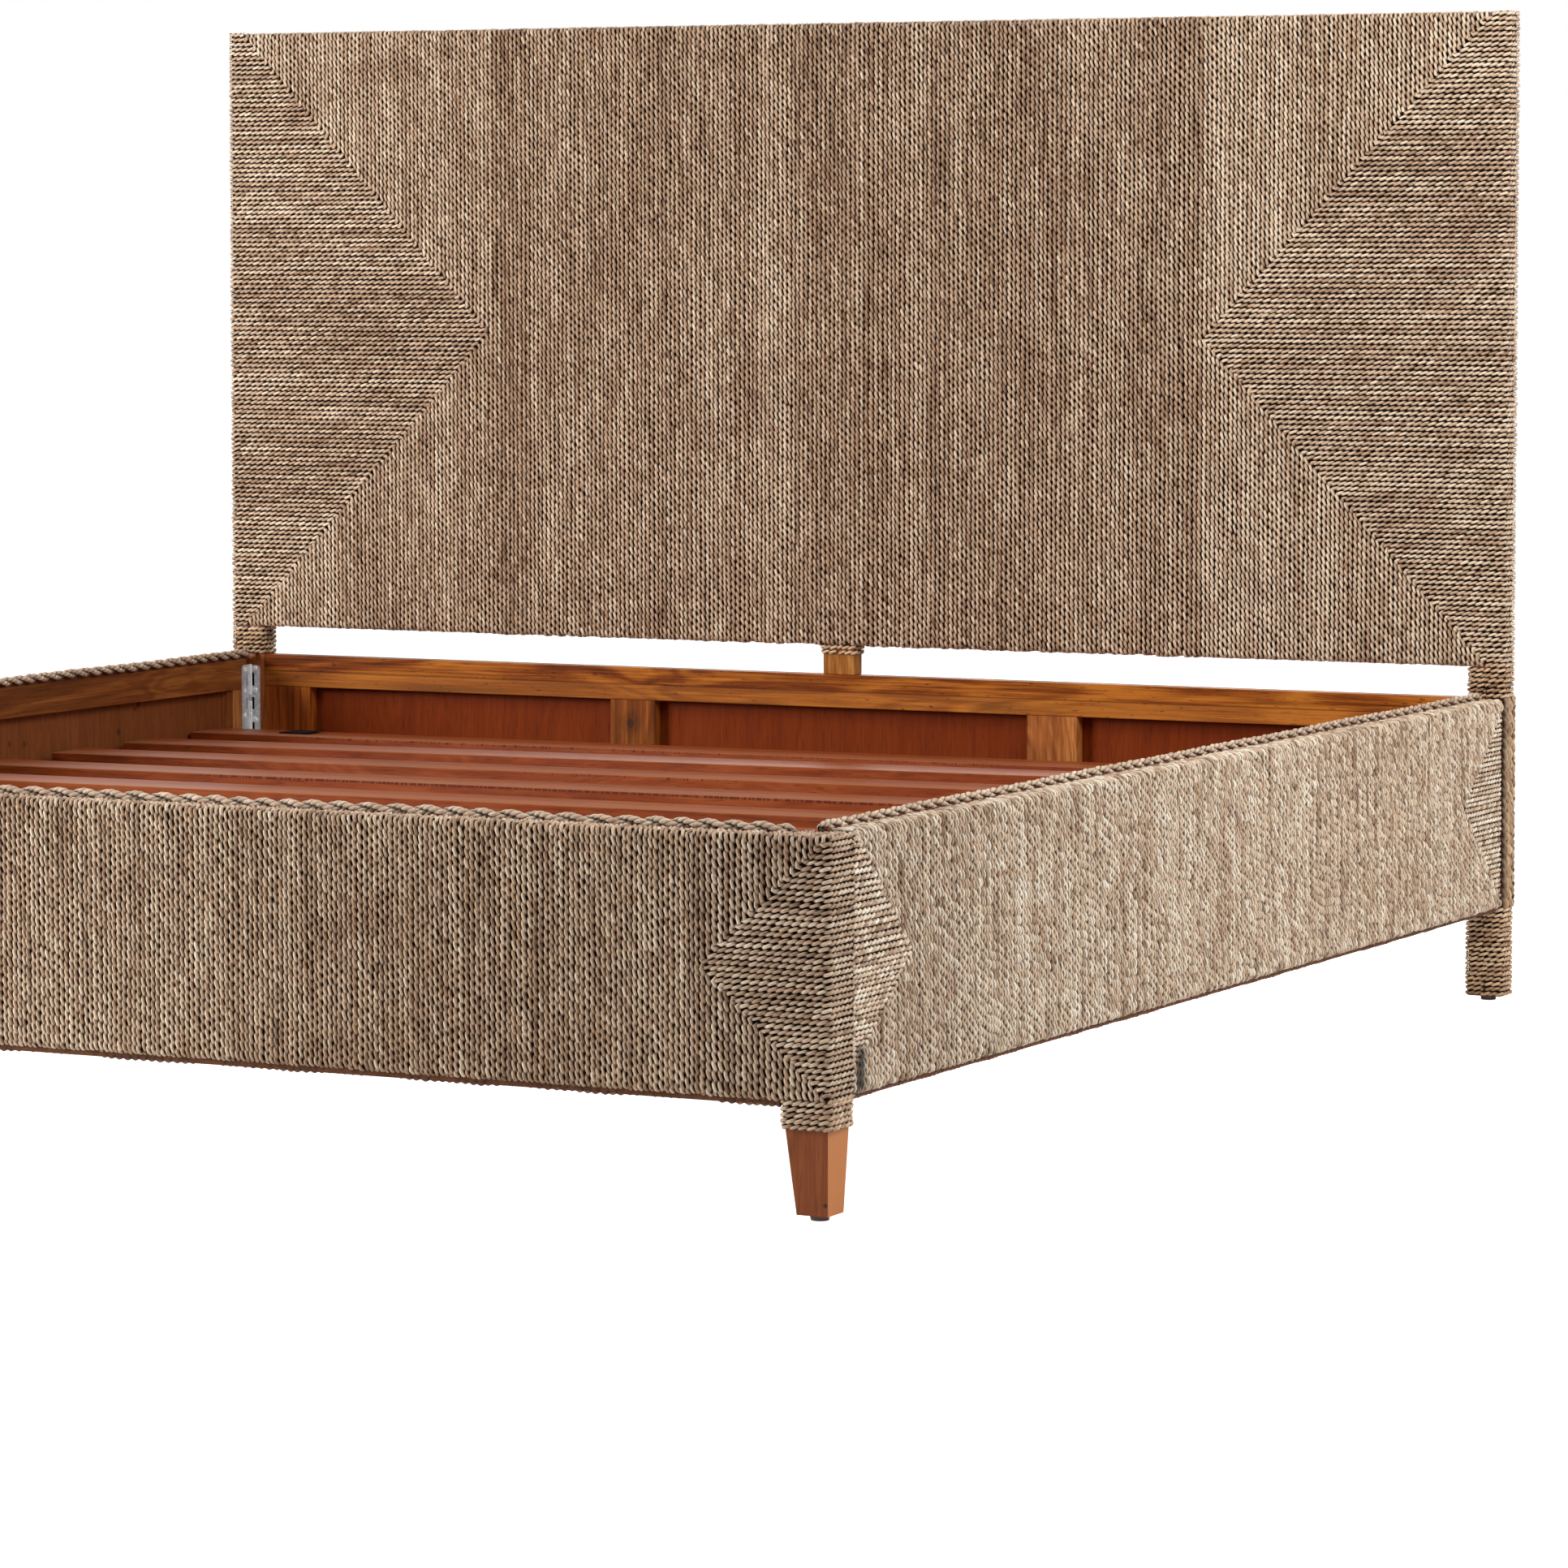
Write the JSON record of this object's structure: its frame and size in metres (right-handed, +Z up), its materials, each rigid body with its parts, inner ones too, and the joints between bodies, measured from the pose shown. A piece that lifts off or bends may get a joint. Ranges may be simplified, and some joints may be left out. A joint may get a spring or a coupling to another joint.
{
  "type": "woven rush bed",
  "caption": "Low bed frame wound in rush cord, with a tall woven headboard, woven footboard and side rails, and loose wooden slats on ledgers for a mattress.",
  "frame": {"origin": "on the floor, under the middle of the bed's bounding box", "axes": "+Z up, +Y towards the headboard, +X towards the right-hand side seen from the foot end"},
  "size_m": [2.03, 2.12, 1.345],
  "materials": {
    "rush": "wound rush cord, matte",
    "cord": "twisted rush edging cord, matte",
    "frame_wood": "oiled hardwood, satin",
    "post_wood": "red-brown hardwood, satin",
    "slat_wood": "planed hardwood, satin",
    "board": "plywood, dull",
    "zinc": "zinc plated, bright",
    "steel": "zinc plated, dull",
    "glide": "matte"
  },
  "bodies": {
    "bedstead": {"head_post_left": "post_wood", "head_post_wrap_left": "rush", "head_post_right": "post_wood", "head_post_wrap_right": "rush", "head_top_rail": "frame_wood", "head_panel_rail": "frame_wood", "head_core_board": "board", "head_rope_cover": "rush", "head_lower_beam": "frame_wood", "head_lower_bottom_rail": "frame_wood", "head_stile_left": "frame_wood", "head_stile_mid_left": "frame_wood", "head_stile_mid_right": "frame_wood", "head_stile_right": "frame_wood", "head_lower_ply": "board", "head_center_strut": "frame_wood", "foot_post_left": "post_wood", "foot_collar_left": "rush", "foot_post_right": "post_wood", "foot_collar_right": "rush", "foot_top_rail": "frame_wood", "foot_bottom_rail": "frame_wood", "foot_ply": "board", "foot_rope_cover": "rush", "foot_top_braid": "cord", "rail_left_top": "frame_wood", "rail_left_bottom": "frame_wood", "rail_left_head_stile": "frame_wood", "rail_left_ply": "board", "rail_left_rope": "rush", "rail_left_braid": "cord", "slat_ledger_left": "frame_wood", "bracket_head_left": "zinc", "bracket_foot_left": "zinc", "rail_right_top": "frame_wood", "rail_right_bottom": "frame_wood", "rail_right_head_stile": "frame_wood", "rail_right_ply": "board", "rail_right_rope": "rush", "rail_right_braid": "cord", "slat_ledger_right": "frame_wood", "bracket_head_right": "zinc", "bracket_foot_right": "zinc", "center_beam": "frame_wood", "center_leg": "frame_wood", "glide_head_left": "glide", "glide_foot_left": "glide", "glide_head_right": "glide", "glide_foot_right": "glide"},
    "slat_01": {"slat_01": "slat_wood"},
    "slat_02": {"slat_02": "slat_wood"},
    "slat_03": {"slat_03": "slat_wood"},
    "slat_04": {"slat_04": "slat_wood"},
    "slat_05": {"slat_05": "slat_wood"},
    "slat_06": {"slat_06": "slat_wood"},
    "slat_07": {"slat_07": "slat_wood"},
    "slat_08": {"slat_08": "slat_wood"},
    "slat_09": {"slat_09": "slat_wood"},
    "slat_10": {"slat_10": "slat_wood"},
    "leveller": {"center_leveller": "steel"}
  },
  "joints": [
    {"name": "slat_01_lift", "type": "slide", "parent": "bedstead", "child": "slat_01", "axis": [0, 0, 1], "range_m": [0, 0.05]},
    {"name": "slat_02_lift", "type": "slide", "parent": "bedstead", "child": "slat_02", "axis": [0, 0, 1], "range_m": [0, 0.05]},
    {"name": "slat_03_lift", "type": "slide", "parent": "bedstead", "child": "slat_03", "axis": [0, 0, 1], "range_m": [0, 0.05]},
    {"name": "slat_04_lift", "type": "slide", "parent": "bedstead", "child": "slat_04", "axis": [0, 0, 1], "range_m": [0, 0.05]},
    {"name": "slat_05_lift", "type": "slide", "parent": "bedstead", "child": "slat_05", "axis": [0, 0, 1], "range_m": [0, 0.05]},
    {"name": "slat_06_lift", "type": "slide", "parent": "bedstead", "child": "slat_06", "axis": [0, 0, 1], "range_m": [0, 0.05]},
    {"name": "slat_07_lift", "type": "slide", "parent": "bedstead", "child": "slat_07", "axis": [0, 0, 1], "range_m": [0, 0.05]},
    {"name": "slat_08_lift", "type": "slide", "parent": "bedstead", "child": "slat_08", "axis": [0, 0, 1], "range_m": [0, 0.05]},
    {"name": "slat_09_lift", "type": "slide", "parent": "bedstead", "child": "slat_09", "axis": [0, 0, 1], "range_m": [0, 0.05]},
    {"name": "slat_10_lift", "type": "slide", "parent": "bedstead", "child": "slat_10", "axis": [0, 0, 1], "range_m": [0, 0.05]},
    {"name": "leveller_screw", "type": "slide", "parent": "bedstead", "child": "leveller", "axis": [0, 0, 1], "range_m": [0, 0.01]}
  ]
}
